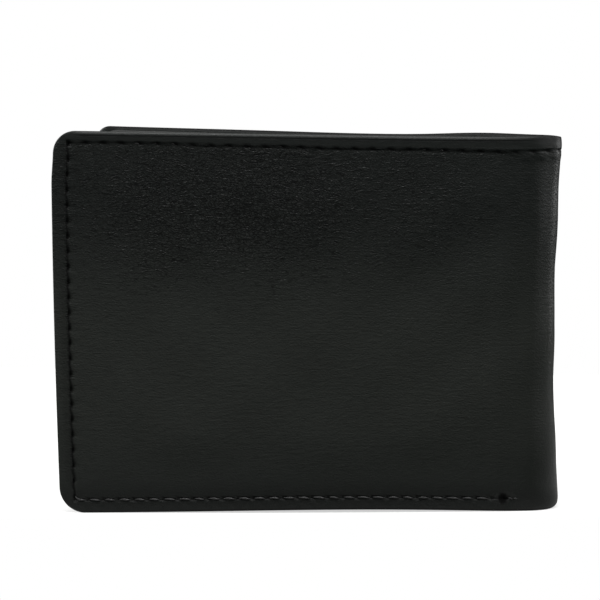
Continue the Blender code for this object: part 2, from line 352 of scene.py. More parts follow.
def far_outline(shape):
    """The outline of a layer's far face."""
    far = dict(shape, end=shape["end"] - rim_gap, low=shape["low"] + rim_gap, high=shape["high"] - rim_gap)
    if not shape["open_start"]:
        far["start"] = shape["start"] + rim_gap
    far["corners"] = [
        (far["start"] if side > 0 else far["end"], far["low"] if way > 0 else far["high"],
         side, way, max(radius - rim_gap, 0))
        for _, _, side, way, radius in shape["corners"]
    ]
    return far


def far_grid(far, spacing, stops, rounding):
    """Columns and rows of a layer's far face; stops give its rows where they aren't even."""
    start_rounding = 0.0 if far["open_start"] else rounding
    columns = with_rims(graded((far["start"], spacing), far["end"]), start_rounding, rounding)
    stops = stops or ((far["low"], spacing), (far["high"],))
    rows = with_rims(graded(*stops[:-1], stops[-1][0]), rounding, rounding)
    return grid_places(far, columns, rows)


def layer(name, side, shape, columns, rows, far_spacing, depth, thickness, material, relief,
          seen_inside, far_stops=None, painted_shade=None, round_at=math.inf):
    """A closed layer of a half. relief raises its seen face; the painted shade mask tells where painted shade
    and dulling go.
    """
    def thick(along, up):
        return thickness(along, up) if callable(thickness) else np.full_like(along, thickness)

    along, up = grid_places(shape, columns, rows)
    t = thick(along, up)
    fall = quarter_round(rim_distance(shape, along, up), np.minimum(t / 2, round_at))
    raised = relief(along, up)
    seen_depth = depth + t - fall + raised if seen_inside else depth + fall - raised

    far_along, far_up = far_grid(far_outline(shape), far_spacing, far_stops, float(np.max(t)) / 2 - rim_gap)
    far_t = thick(far_along, far_up)
    far_fall = quarter_round(rim_distance(shape, far_along, far_up), far_t / 2)
    far_depth = depth + far_fall if seen_inside else depth + far_t - far_fall

    fine = on_half(side, along, up, seen_depth).reshape(-1, 3)
    coarse = on_half(side, far_along, far_up, far_depth).reshape(-1, 3)
    places = np.concatenate([hide_place(side, along, up), hide_place(side, far_along, far_up)])
    faces = grid_faces(*along.shape, 0).tolist() + grid_faces(*far_along.shape, len(fine)).tolist()
    faces += zip_rims(grid_rim(fine, *along.shape, 0), grid_rim(coarse, *far_along.shape, len(fine)))
    # Painted shade: the seen face's own mask, and a dark line on the far face near the top.
    shade_share = None
    if painted_shade:
        shade_share = np.concatenate([painted_shade(along, up).ravel(), far_shade_share * (far_up.ravel() > far_shade_from)])
    obj = mesh_piece(name, np.concatenate([fine, coarse]), faces, places, material, shade_share)
    print(name, len(obj.data.polygons), "faces,", sum(len(f) - 2 for f in faces), "triangles")
    return obj


print("a layer's far face stands", rim_gap, "mm inside its rim")

# %% [markdown]
# Each finish is a small net of shader nodes. Its colours are written as they look on a screen, and one
# function turns them to the linear values that shaders work in. One more adds any node. Patterns are
# read from the flat place that every point keeps, so they don't slide when the leather bends.


# %% Helpers for the finishes
def colour(code):
    """An sRGB hex colour as the linear values that the shaders work in."""
    shares = [int(code[i:i + 2], 16) / 255 for i in (0, 2, 4)]
    return [s / 12.92 if s <= 0.04045 else ((s + 0.055) / 1.055) ** 2.4 for s in shares] + [1.0]


def new_material(name):
    """An empty material and its output node."""
    material = bpy.data.materials.new(name)
    material.use_nodes = True
    tree = material.node_tree
    tree.nodes.clear()
    return material, tree, tree.nodes.new("ShaderNodeOutputMaterial")


def add(tree, kind, settings=None, *values, at=None, **named):
    """Adds a node. settings are its properties. Values go into its sockets in order, those of at into
    numbered ones, and the rest by the sockets' names. A node as a value stands for its first output."""
    made = tree.nodes.new("ShaderNode" + kind)
    for key, value in (settings or {}).items():
        setattr(made, key, value)
    by_name = {key.replace("_", " "): value for key, value in named.items()}
    for key, value in {**dict(enumerate(values)), **(at or {}), **by_name}.items():
        value = value.outputs[0] if isinstance(value, bpy.types.Node) else value
        if isinstance(value, bpy.types.NodeSocket):
            tree.links.new(value, made.inputs[key])
        else:
            made.inputs[key].default_value = value
    return made


def flat_places(tree, stretch=(1.0, 1.0, 1.0)):
    """Where a point lies on the flat hide, in mm, stretched by three factors."""
    place = add(tree, "Attribute", {"attribute_name": "flat_mm"}).outputs["Vector"]
    return add(tree, "Mapping", Vector=place, Scale=stretch)


times, plus, minus, over, larger, sine, power, root, unsigned, times_plus = (
    {"operation": word} for word in ("MULTIPLY", "ADD", "SUBTRACT", "DIVIDE", "MAXIMUM", "SINE",
                                     "POWER", "SQRT", "ABSOLUTE", "MULTIPLY_ADD")
)
softly = {"interpolation_type": "SMOOTHSTEP"}
two_colours = {"data_type": "RGBA"}
print("the grey 808080 is", round(colour("808080")[0], 3), "in linear light")

# %% [markdown]
# Black wallet leather is cowhide, dyed through and given a thin semi-matt finish. The eye tells it
# from plastic by its grain, so that is built from four patterns in real sizes: tight pores, drawn at
# 0.5 mm because real ones of 0.2 mm are too fine to show, fine streaks along the hide, and, where the
# skin was looser, wrinkles 1.2 mm apart and creased cells 0.8 mm wide. The loose patch lies high on the
# front half.

# %% Loose patches and wrinkles
pores_per_mm = 1.9
cells_per_mm = 1.35
wrinkles_per_mm = 0.85
loose_middle = (76.0, 70.0)
loose_reach = (42.0, 15.0)
grain_shares = {"pores": 0.38, "wrinkles": 0.5, "cells": 0.45, "streaks": 0.95}


def loose_patch(tree, place, inside):
    """How strongly creased cells and wrinkles show at a place of the hide."""
    wander = add(tree, "TexNoise", Vector=flat_places(tree), Scale=0.05, Detail=3.0)
    squares = []
    for axis, middle, reach in zip("XY", loose_middle, loose_reach):
        off = add(tree, "Math", over, add(tree, "Math", minus, place.outputs[axis], middle), reach)
        squares.append(add(tree, "Math", power, off, 2.0))
    away = add(tree, "Math", root, add(tree, "Math", plus, *squares))
    away = add(tree, "Math", times_plus, wander, -1.2, away)
    cells = add(tree, "MapRange", softly, away, -0.5, 1.1, 0.85, 0.0)
    wrinkles = add(tree, "MapRange", softly, away, -0.1, 1.3, 1.0, 0.16)
    return [add(tree, "Math", times, patch, inside) for patch in (cells, wrinkles)]


def wrinkle_lines(tree, place):
    """Wandering lines along the hide as a wave from -1 to 1, and the noise that breaks them off."""
    wander = add(tree, "TexNoise", Vector=flat_places(tree, (0.20, 0.42, 1.0)), Scale=1.0, Detail=3.0)
    phase = add(tree, "Math", times, place.outputs["Y"], wrinkles_per_mm)
    phase = add(tree, "Math", times_plus, wander, 7.0, phase)
    wave = add(tree, "Math", sine, add(tree, "Math", times, phase, 2 * math.pi))
    breaks = add(tree, "TexNoise", Vector=flat_places(tree, (0.45, 1.0, 1.0)), Scale=1.0, Detail=1.0)
    return wave, breaks


print("pores are", round(1 / pores_per_mm, 2), "mm wide, wrinkles", round(1 / wrinkles_per_mm, 2), "mm apart")


# %% The height of the grain
def hide_grain(tree, place, inside):
    """The height of the grain, its streaks, and a mask of the creases, where shade is painted."""
    pores = add(tree, "TexVoronoi", {"feature": "F1"}, Vector=flat_places(tree, (1.0, 1.5, 1.0)),
                Scale=pores_per_mm)
    cells = add(tree, "TexVoronoi", {"feature": "DISTANCE_TO_EDGE"},
                Vector=flat_places(tree, (0.90, 1.20, 1.0)), Scale=cells_per_mm)
    streaks = add(tree, "TexNoise", Vector=flat_places(tree, (0.30, 1.6, 1.0)), Scale=1.0, Detail=5.0,
                  Roughness=0.6)
    wave, breaks = wrinkle_lines(tree, place)
    cell_patch, fold_patch = loose_patch(tree, place, inside)
    wrinkle = add(tree, "Math", times, add(tree, "MapRange", softly, wave, -1.0, 1.0),
                  add(tree, "MapRange", softly, breaks, 0.42, 0.62))
    cell_top = add(tree, "MapRange", softly, cells, 0.0, 0.15)
    patterns = {
        "pores": add(tree, "MapRange", softly, pores, 0.0, 0.8, 1.0, 0.0),
        "wrinkles": add(tree, "Math", times, wrinkle, fold_patch),
        "cells": add(tree, "Math", times, cell_top, cell_patch),
        "streaks": streaks,
    }
    height = 0.0
    for pattern, share in grain_shares.items():
        height = add(tree, "Math", times_plus, patterns[pattern], share, height)
    # Painted shade: this mask tells where the creases are painted dark.
    trough = add(tree, "Math", times, add(tree, "MapRange", softly, wave, -1.0, -0.2, 1.0, 0.0),
                 add(tree, "MapRange", softly, breaks, 0.42, 0.58))
    cell_edge = add(tree, "MapRange", softly, cells, 0.02, 0.24, 1.0, 0.0)
    crease_shade_mask = add(tree, "Math", larger, add(tree, "Math", times, cell_edge, cell_patch),
                    add(tree, "Math", times, trough, fold_patch))
    return height, streaks, crease_shade_mask


print("shares of the grain's height:", grain_shares)

# %% [markdown]
# The finish sits on that grain. Its colour has a painted lighter band round 32 mm up, where the face
# gets more light, and it is glossier on high spots, which hands polish. Such a coat has an IOR of about
# 1.5. A dusty semi-matt one sends back less light, so 1.38 matches. In creases, along seams and at other
# shaded places a near-black second shader with an IOR of 1.15 and a high roughness takes over: painted shade.


# %% Leather
def make_leather(name, base, light_band_colour, roughness, looseness):
    """Semi-matt grained cowhide; looseness is how deep the creases of its loose patches are."""
    material, tree, out = new_material(name)
    place = add(tree, "SeparateXYZ", Vector=flat_places(tree))
    up = place.outputs["Y"]
    border = add(tree, "MapRange", softly, up, 82.2, 82.9)
    inside = add(tree, "Math", times, add(tree, "Math", minus, 1.0, border), looseness)
    height, streaks, crease_shade_mask = hide_grain(tree, place, inside)
    from_fold = add(tree, "Math", unsigned, place.outputs["X"])
    for fade in (add(tree, "MapRange", softly, from_fold, 6.0, 22.0, 0.45, 1.0),
                 add(tree, "MapRange", softly, up, 82.0, 82.8, 1.0, 0.4)):
        height = add(tree, "Math", times, height, fade)
    bump = add(tree, "Bump", Height=height, Strength=1.0, Distance=0.10 * mm)

    # Painted light: the colour is lighter in a band round 32 mm up, where the face gets more light, broken up
    # by the streaks.
    from_middle = add(tree, "Math", unsigned, add(tree, "Math", minus, up, 32.0))
    painted_light_band = add(tree, "MapRange", softly, from_middle, 6.0, 42.0, 1.0, 0.0)
    streaked = add(tree, "MapRange", softly, streaks, 0.35, 0.75, 0.6, 1.0)
    tone = add(tree, "Math", times, painted_light_band, streaked)
    colour_and_painted_light = add(tree, "Mix", two_colours, at={0: tone, 6: colour(base), 7: colour(light_band_colour)}).outputs[2]
    # Painted shadow: the lowest 0.7 mm of the face goes near-black.
    at_foot = add(tree, "MapRange", softly, up, 0.15, 0.7)
    colour_and_painted_light = add(tree, "Mix", two_colours, at={0: at_foot, 6: colour("020202"), 7: colour_and_painted_light}).outputs[2]

    polish = add(tree, "MapRange", softly, streaks, 0.3, 0.7, roughness + 0.04, roughness - 0.04)
    handled = add(tree, "MapRange", softly, from_middle, 5.0, 42.0, 0.0, 0.02)
    polish = add(tree, "Math", minus, polish, handled)
    polish = add(tree, "Math", times_plus, border, 0.03, polish)
    skin = add(tree, "BsdfPrincipled", Base_Color=colour_and_painted_light, Roughness=polish, IOR=1.38, Normal=bump)
    # Painted shade: a near-black, dull shader that takes over in creases, seams and other shaded places.
    shade_shader = add(tree, "BsdfPrincipled", Base_Color=colour("040404"), Roughness=0.85, IOR=1.15)
    painted_shade = add(tree, "Attribute", {"attribute_name": "painted_shade"}).outputs["Fac"]
    shade_share = add(tree, "Math", larger, crease_shade_mask, painted_shade)
    both = add(tree, "MixShader", None, shade_share, skin, shade_shader)
    tree.links.new(both.outputs[0], out.inputs["Surface"])
    return material


outer_leather = make_leather("outer_leather", "050a07", "1d201c", 0.47, 0.75)
pocket_leather = make_leather("pocket_leather", "0e100e", "161916", 0.50, 0.3)
print("leather:", outer_leather.name, pocket_leather.name)

# %% [markdown]
# The lining is a thin plain-woven polyester. A weave is two crossing sets of ribs, each of which dips
# under the other in turn; real threads are 0.25 mm apart, drawn here at 0.5 mm so that they show. The
# seams are bonded polyester thread. Its twist is in the mesh, and the finish only adds fine fibres.

# %% Woven lining and sewing thread
weave_pitch = 0.5
fibres_per_mm = 9.0


def make_lining(name, base):
    """Plain-woven lining: two sets of ribs, multiplied into a chequer of high spots, with painted shade in
    the low spots.
    """
    material, tree, out = new_material(name)
    place = add(tree, "SeparateXYZ", Vector=flat_places(tree))
    ribs = [add(tree, "Math", sine, add(tree, "Math", times, place.outputs[axis], 2 * math.pi / weave_pitch))
            for axis in "XY"]
    weave = add(tree, "MapRange", softly, add(tree, "Math", times, *ribs), -1.0, 1.0)
    bump = add(tree, "Bump", Height=weave, Strength=1.0, Distance=0.07 * mm)
    # Painted shade: the low spots of the weave are darker.
    colour_and_painted_light = add(tree, "Mix", two_colours, at={0: weave, 6: colour("0e0e0f"), 7: colour(base)}).outputs[2]
    cloth = add(tree, "BsdfPrincipled", Base_Color=colour_and_painted_light, Roughness=0.75, IOR=1.45,
                Sheen_Weight=0.15, Sheen_Roughness=0.4, Normal=bump)
    tree.links.new(cloth.outputs["BSDF"], out.inputs["Surface"])
    return material


def make_thread(name, base):
    """Bonded polyester thread."""
    material, tree, out = new_material(name)
    fibres = add(tree, "TexNoise", Vector=flat_places(tree), Scale=fibres_per_mm, Detail=2.0)
    bump = add(tree, "Bump", Height=fibres, Strength=0.6, Distance=0.06 * mm)
    strand = add(tree, "BsdfPrincipled", Base_Color=colour(base), Roughness=0.38, IOR=1.5,
                 Sheen_Weight=0.05, Sheen_Roughness=0.4, Normal=bump)
    tree.links.new(strand.outputs["BSDF"], out.inputs["Surface"])
    return material


lining_cloth = make_lining("lining_cloth", "1e1e20")
black_thread = make_thread("black_thread", "0c0d0c")
print("cloth and thread:", lining_cloth.name, black_thread.name)

# %% [markdown]
# Three rows of stitches show on each half: one holds the hem along the top, one goes down the free
# edge and along the foot, and a short back-tack ends it beside the fold. The machine's top row isn't
# quite straight on the real wallet, so it wanders here too.

# %% Where the rows of stitches run
top_row = 82.0
side_inset = 3.3
foot_row = 2.9
foot_row_start = 4.5
tack_place = 6.0
top_pitch = 4.0
edge_pitch = 3.4
pocket_pitch = 3.6
tack_pitch = 1.3
side_row_of = {side: length_of[side] - side_inset for side in (front, rear)}


def top_row_at(along):
    """The height of the top row."""
    drift = 0.55 * np.clip((along - 35) / 60, 0, 1) - 0.45 * dip(along - 5.0, 9.0)
    return top_row + drift + 0.05 * np.sin(along / 4.1)


print("the top row is", top_row_at(np.array([0.0, 50.0, 100.0])).round(2), "mm up")

# %% [markdown]
# Sewing shapes leather. A tight row of stitches pulls the surface down into a channel, deeper at each
# needle hole, and the leather puffs up beside it in small scallops. Sculpting would do for one wallet.
# Functions of the flat place give every row the same hand, and the mesh is fine enough to carry them.

# %% What a row of stitches does to leather
def seam_relief(across, along_seam, pitch, deep=1.0, puff=1.0):
    """One row of stitches. Its channel has a steep wall on one side and rises gently on the other."""
    beat = np.cos(2 * math.pi * along_seam / pitch)
    channel = -0.30 * deep * np.where(across < 0, 0.35 * dip(across, 0.70), dip(across, 0.26))
    channel = channel * (0.8 + 0.2 * beat)
    holes = -0.20 * deep * dip(across + 0.1, 0.40) * np.clip(beat, 0, 1) ** 3
    scallops = puff * (0.07 * beat * dip(across + 1.2, 0.8) + 0.03 * beat * dip(across - 1.2, 0.7))
    return channel + holes - scallops


def seam_painted_shade(across, along_seam, pitch, wide, even):
    """Painted shade along a row of stitches: a wavy dark line, widest at the needle holes."""
    turn = 2 * math.pi * along_seam / pitch
    line = dip(across - 0.15 * np.sin(turn), wide * (1 + (1 - even) * np.cos(turn)))
    return line * (even + (1 - even) * np.cos(turn))


print("a channel is", round(float(-seam_relief(0.0, 0.0, top_pitch)), 2), "mm deep at a needle hole")

# %% [markdown]
# Inside the seams the wallet is plump, because the pockets behind it are thick, and large soft waves
# that nobody sewed keep its face from looking ruled. Small folds stand beside the fold.

# %% The plump, wavy face of a half
rng = np.random.default_rng(7)
waves = [(rng.uniform(0.10, 0.24), rng.uniform(0.12, 0.30), rng.uniform(0, 6.28), rng.uniform(-1, 1))
         for _ in range(7)]


def soft_waves(side, along, up):
    """Large shallow waves, about 25 to 60 mm long, between -1 and 1."""
    total = 0.0
    for fast, tall, phase, weight in waves:
        total = total + weight * np.sin(fast * along + 2.1 * side * phase) * np.sin(tall * up + phase)
    return total / 2.2


def body_relief(side, along, up):
    """The plump middle of a half, its soft waves, and the small folds beside the fold."""
    past_foot_row = np.clip(6.0 - along, 0, 99)
    inside = np.minimum(top_row_at(along) - up, side_row_of[side] - along)
    inside = np.minimum(inside, up - foot_row + 1.5 * past_foot_row)
    plump = smooth(inside / 15.0)
    lower = np.clip(inside / (0.25 + 0.6 * np.clip(past_foot_row, 0, 4)), 0, 1)
    lower = lower * np.clip((up - foot_row) / 25, 0, 1)
    near_fold = dip(along - 5.0, 9.0) * np.clip(up / 15, 0, 1) * np.clip((82 - up) / 8, 0, 1)
    bend = np.sin(0.9 * along + 0.05 * up + 0.8 * np.sin(up / 11 + side))
    waved = 0.16 * soft_waves(side, along, up) * plump
    return -0.20 * lower + 0.44 * plump + waved + near_fold * 0.05 * bend


print("the front half's middle stands out by", round(float(body_relief(front, 55.0, 42.0)), 2), "mm")

# %% [markdown]
# Along the top the leather is turned in, and its folded edge is a narrow bead with a creased line
# under it, pressed with a warm tool so that the edge stays sharp. The free edge and the foot are cut
# edges, rounded off, and the foot's edge gets a painted shadow.

# %% The outer skin's outline, thickness and rims
rim_width = 0.80
rim_fall = 0.25
rim_crease = 0.95
shape_of_outer = {
    side: outline(-fold_run, length_of[side], 0.0, wallet_height, 0.0, top_radius, 5.7, open_start=True)
    for side, top_radius in ((front, 5.0), (rear, 3.5))
}


def outer_thickness(side):
    """Leather 1.1 mm thick, and 1.6 mm where its skived edge is turned in along the top."""
    def thick(along, up):
        turned = np.clip((up - 76.85) / 0.3, 0, 1) * np.clip((length_of[side] - 5.0 - along) / 1.5, 0, 1)
        return 1.1 + 0.5 * turned
    return thick


def top_rim_mask(side, along):
    """1 along the straight top edge, and 0 at its rounded corner and round the fold."""
    return np.clip((length_of[side] - 4.0 - along) / 3.0, 0, 1) * np.clip((along + 2.0) / 6.0, 0, 1)


def rim_relief(side, along, up, inside_rim):
    """The rolled rim, and the bead and crease line along the top."""
    on_top = top_rim_mask(side, along)
    from_top = wallet_height - up
    rolled = -0.20 * np.clip(1 - inside_rim / 2.0, 0, 1) ** 2 * np.clip((up - 2.0) / 3.0, 0, 1)
    rolled = rolled * (1 - on_top * np.clip((up - 79.0) / 2.0, 0, 1))
    bead = -rim_fall * np.clip(1 - from_top / rim_width, 0, 1)
    bead = bead - 0.08 * dip(from_top - rim_crease, 0.14)
    above_row = np.clip((up - top_row_at(along) + 0.3) / 0.6, 0, 1)
    bead = bead + 0.02 * np.clip(from_top - 1.3, 0, 1.7) ** 2 * above_row
    return rolled * np.clip(inside_rim / 0.3, 0, 1) + bead * on_top


print("the hem makes the skin", float(outer_thickness(front)(50.0, 80.0)), "mm thick")


# %% The relief of the outer face
def rows_relief(side, along, up):
    """What the rows of stitches and the back-tack do to a half's outer face."""
    top_here, side_row = top_row_at(along), side_row_of[side]
    before_corner = np.clip((side_row + 0.6 - along) / 0.8, 0, 1)
    top = seam_relief(up - top_here, along - side_row, top_pitch, 0.85, 0.6) * before_corner
    in_side = np.clip((top_here + 0.6 - up) / 0.8, 0, 1) * np.clip((up - foot_row + 0.6) / 0.8, 0, 1)
    edge = seam_relief(along - side_row, top_row - up, edge_pitch, 1.5, 0.45) * in_side
    in_foot = np.clip((along - foot_row_start + 1.0) / 1.0, 0, 1) * before_corner
    foot = seam_relief(up - foot_row, along - side_row, edge_pitch, 1.5) * in_foot
    tack = 0.50 * dip(np.hypot((along - tack_place) / 1.4, (up - foot_row) / 1.5), 0.9)
    tack_end = 0.35 * dip(np.hypot((along - tack_place + 2.3) / 0.5, up - foot_row - 0.2), 0.7)
    return top + edge + foot - tack - tack_end


def outer_relief(side):
    """How far the outer face of a half stands out from its flat pattern."""
    def raised(along, up):
        inside_rim = rim_distance(shape_of_outer[side], along, up)
        sewn = body_relief(side, along, up) + rows_relief(side, along, up)
        return sewn * np.clip(inside_rim / 0.8, 0, 1) + rim_relief(side, along, up, inside_rim)

    return raised


print("at the back-tack the face lies", round(float(-rows_relief(front, tack_place, foot_row)), 2),
      "mm deep")

# %% [markdown]
# Painted shade goes along the rows of stitches, in the creased line under the bead, on the foot, low
# round the fold and on the back-tack, whose dark spot is partly a real knot. The top rim round the fold
# and the free edge's border are only dulled. Each point of the outer face keeps its share, from 0 to 1,
# and the leather's shader reads it.


# %% Where shade is painted on the outer face
def rows_painted_shade(side, along, up):
    """Painted shade along the rows of stitches and on the back-tack, whose dark spot is partly a real knot.
    """
    top_here, side_row = top_row_at(along), side_row_of[side]
    before_corner = np.clip((side_row + 0.4 - along) / 0.4, 0, 1)
    top = seam_painted_shade(up - top_here + 0.08, along - side_row, top_pitch, 0.24, 0.65) * before_corner
    in_side = np.clip((top_here + 0.3 - up) / 0.4, 0, 1) * np.clip((up - foot_row) / 0.4, 0, 1)
    edge = seam_painted_shade(along - side_row, top_row - up, edge_pitch, 0.42, 0.92) * in_side
    in_foot = np.clip((along - foot_row_start) / 0.6, 0, 1) * before_corner
    foot = seam_painted_shade(up - foot_row - 0.42, along - side_row, edge_pitch, 0.28, 0.75) * in_foot
    tack = 1.6 * dip(np.hypot((along - tack_place) / 1.4, (up - foot_row) / 1.6), 0.95)
    return [top, edge, foot, tack]


def shade_and_dull_places(side, along, up):
    """Painted shade in the crease line, on the foot and low round the fold; a duller top rim round the fold
    and free edge border.
    """
    from_top, round_fold = wallet_height - up, dip(along + fold_run, 13.0)
    # Painted shade: the crease line, the foot's edge, the foot and the fold's lower part get the dark, dull
    # shader; the top rim round the fold and the free edge's border are only dulled.
    crease_line_shade = 0.6 * dip(from_top - rim_crease - 0.08, 0.20) * top_rim_mask(side, along)
    rim_dull = 0.6 * np.clip(1.6 - from_top, 0, 1) * round_fold
    painted_foot_shadow = 0.9 * np.clip(1.2 - up, 0, 1)
    painted_fold_shade = 0.35 * np.clip(1 - (up - 2.0) / 30.0, 0, 1) * round_fold
    painted_foot_shade = 0.55 * (1 - smooth((up - 2.0) / 7.0))
    side_dull = 0.22 * np.clip((along - side_row_of[side] - 0.2) / 0.5, 0, 1)
    side_dull = side_dull * np.clip(length_of[side] - 1.0 - along, 0, 1)
    return [crease_line_shade, rim_dull, painted_foot_shadow, painted_fold_shade, painted_foot_shade, side_dull]


def outer_painted_shade(side):
    """How much painted shade and dulling each place of a half's outer face gets."""
    def painted_shade(along, up):
        reasons = rows_painted_shade(side, along, up) + shade_and_dull_places(side, along, up)
        return np.clip(np.maximum.reduce(reasons), 0, 1)

    return painted_shade


# The back-tack gets the darkest painted shade.
print("on the back-tack the finish is broken by", outer_painted_shade(front)(tack_place, foot_row))

# %% [markdown]
# The outer skin is one piece of leather from the front free edge round the fold to the rear one. It is
# made as two shells that meet at the fold's middle, since a piece can bend at one joint only. Each
# shell takes the place of its half's panel and of the fold's leather.

# %% The outer skin
fine = 0.46
outer_skin = {}
for side in (front, rear):
    length = length_of[side]
    columns = with_rims(
        graded((-fold_run, 0.05), (-fold_run + 0.05, fine), (length - 5.0, 0.25), length), 0.0, 0.5
    )
    rows = with_rims(
        graded((0.0, 0.25), (4.6, fine), (79.8, 0.25), (83.5, 0.13), wallet_height), 0.5, 0.5
    )
    outer_skin[side] = layer(
        "outer_skin_" + word_of[side], side, shape_of_outer[side], columns, rows, 1.6, 0.0,
        outer_thickness(side), outer_leather, outer_relief(side), seen_inside=False,
        far_stops=((0.1, 1.6), (76.75, 0.2), (77.25, 1.6), (84.9,)), painted_shade=outer_painted_shade(side),
        round_at=0.42,
    )

# %% [markdown]
# A stitch is a short length of two-ply thread that comes up out of one needle hole, lies along the
# leather and goes down the next. Machine stitches in a thick edge lie a little slanted. Each one is
# modelled: a tube whose section has two lobes that turn along its length, laid on the flat pattern
# first, like everything else, and then on the half.


# %% The route of a row, and the shape of a stitch
def rounded_route(corners, radius):
    """A dense line of (along, up) places through corners that are rounded."""
    route = [np.array(corners[0], float)]
    for before, corner, after in zip(corners, corners[1:], corners[2:]):
        before, corner, after = (np.array(p, float) for p in (before, corner, after))
        come = (before - corner) / np.linalg.norm(before - corner)
        go = (after - corner) / np.linalg.norm(after - corner)
        centre = corner + (come + go) * radius
        for turn in np.linspace(0, math.pi / 2, 9):
            route.append(centre - radius * (go * math.cos(turn) + come * math.sin(turn)))
    route.append(np.array(corners[-1], float))
    return np.array(route)


around, rings = 10, 13


def thread_section(here, radius):
    """Two lobes that turn along the stitch, thinner at its ends: the angles round it and its radii."""
    turn = np.linspace(0, 2 * math.pi, around, endpoint=False)
    thin = 1.05 - 0.6 * abs(here) ** 3
    return turn, radius * thin * (0.84 + 0.2 * np.cos(2 * (turn - 2.6 * here)))


def stitch_faces(first):
    """Quads round a stitch whose points start at index first, and a face at either end."""
    faces = []
    for low in range(first, first + (rings - 1) * around, around):
        for k in range(around):
            n = (k + 1) % around
            faces.append((low + k, low + n, low + around + n, low + around + k))
    faces.append(tuple(first + k for k in reversed(range(around))))
    faces.append(tuple(first + (rings - 1) * around + k for k in range(around)))
    return faces


print("a stitch has", len(stitch_faces(0)), "faces")

# %% Sew a row
first_stitch = 0.5


def sewn_row(name, side, route, pitch, depth_at, out_way=-1, slant=0.20, radius=0.19):
    """A row of separate stitches along a route on a half; out_way is -1 where the seen face is outside."""
    steps = np.linalg.norm(np.diff(route, axis=0), axis=1)
    reach = np.concatenate([[0.0], np.cumsum(steps)])
    count = int((reach[-1] - first_stitch * pitch) / pitch + 0.5)
    here = np.linspace(-1, 1, rings)
    points, places, faces = [], [], []

    def on_route(gone):
        return np.stack([np.interp(gone, reach, route[:, 0]), np.interp(gone, reach, route[:, 1])], -1)

    for number in range(count):
        middle = (first_stitch + number) * pitch + rng.normal(0, 0.05)
        gone = np.clip(middle + here * pitch * rng.uniform(0.35, 0.46), 0, reach[-1])
        lean = slant * rng.uniform(0.2, 1.6)
        lift = rng.uniform(-0.05, 0.07)
        way = on_route(gone + 0.05) - on_route(gone - 0.05)
        way = way / np.maximum(np.linalg.norm(way, axis=1, keepdims=True), 1e-9)
        across = np.stack([-way[:, 1], way[:, 0]], -1)
        centre = on_route(gone) + across * (lean * here - 0.12 * (1 - here ** 2))[:, None]
        dive = np.clip((np.abs(here) - 0.60) / 0.40, 0, 1) ** 2
        proud = 0.07 * (1 - here ** 2) + lift - 0.55 * dive
        depth = depth_at(centre[:, 0], centre[:, 1]) + out_way * proud
        faces += stitch_faces(len(points) * around)
        for ring in range(rings):
            turn, lobes = thread_section(here[ring], radius)
            flat = centre[ring] + across[ring] * (lobes * np.cos(turn))[:, None]
            deep = depth[ring] + out_way * lobes * np.sin(turn)
            points.append(on_half(side, flat[:, 0], flat[:, 1], deep))
            places.append(hide_place(side, flat[:, 0], flat[:, 1], deep))
    obj = mesh_piece(name, np.concatenate(points), faces, np.concatenate(places), black_thread)
    print(name, count, "stitches")
    return obj


print("the first stitch is", first_stitch, "of a pitch from its row's start")

# %% [markdown]
# The hem is sewn first, then the edge row, and last its back-tack. The thread lies deep in the top
# row's channel and deeper still down the free edge. Along the foot it is slack and lies almost level
# with the leather, so it catches the light there.

# %% The outer rows
top_thread_sunk = 0.44
side_thread_sunk = 0.70
foot_thread_sunk = -0.01


def top_thread_depth(along, up):
    """How deep the thread of the top row lies."""
    return np.full_like(along, top_thread_sunk)


def edge_thread_depth(along, up):
    """How deep the thread of the edge row lies, down the free edge and along the foot."""
    return np.where(up < foot_row + 1.0, foot_thread_sunk, side_thread_sunk)


top_stitches, edge_stitches, tack_stitches = {}, {}, {}
for side in (front, rear):
    word, side_row = word_of[side], side_row_of[side]
    stops = np.linspace(side_row - 0.4, -fold_run + 0.1, 240)
    route = np.stack([stops, top_row_at(stops)], -1)
    top_stitches[side] = sewn_row("top_stitches_" + word, side, route, top_pitch, top_thread_depth)
    route = rounded_route(
        [(side_row, top_row_at(side_row) - 0.4), (side_row, foot_row), (tack_place + 0.9, foot_row)], 1.5
    )
    edge_stitches[side] = sewn_row(
        "edge_stitches_" + word, side, route, edge_pitch, edge_thread_depth, slant=0.12
    )
    route = np.array([(tack_place - 1.0, foot_row + 0.1), (tack_place - 3.6, foot_row - 0.1)])
    tack_stitches[side] = sewn_row(
        "tack_stitches_" + word, side, route, tack_pitch, edge_thread_depth, slant=0.12, radius=0.15
    )

# %% [markdown]
# Behind the skin lie the bill compartment's lining and the leather partition that closes it off. Both
# are plain sheets, sewn in at their edges, so all they need is a rounded rim and a faint wave.

# %% The lining and the partition
inner = {front: [], rear: []}
linings = {}
fabrics = []


def soft_relief(side):
    """The faint waves of a sheet that is sewn in at its edges."""
    return lambda along, up: 0.05 * soft_waves(side, 1.7 * along, 1.7 * up)


def plain_grid(shape, thickness, spacing):
    """Columns and rows of a piece with rounded rims and even spacing."""
    half = thickness / 2
    start_half = 0.0 if shape["open_start"] else half
    columns = with_rims(graded((shape["start"], spacing), shape["end"]), start_half, half)
    rows = with_rims(graded((shape["low"], spacing), shape["high"]), half, half)
    return columns, rows


def add_lining(side):
    """A half's share of the lining, from its free edge to the middle of the fold."""
    word, length = word_of[side], length_of[side]
    shape = outline(-fold_run, length - 1.2, 1.2, 76.7, 0.0, 2.5, 6.0, open_start=True)
    columns, rows = plain_grid(shape, 0.3, 1.0)
    columns = np.concatenate([[columns[0], columns[0] + 0.05], columns[1:]])
    linings[side] = layer("bill_lining_cloth_" + word, side, shape, columns, rows, 2.0, 1.35, 0.3,
                          lining_cloth, soft_relief(side), seen_inside=True)
    fabrics.append((linings[side], ["bill_lining_" + word, "bill_lining_fold"],
                    (length + fold_run - 1.2, 75.5), "outer_skin_" + word))


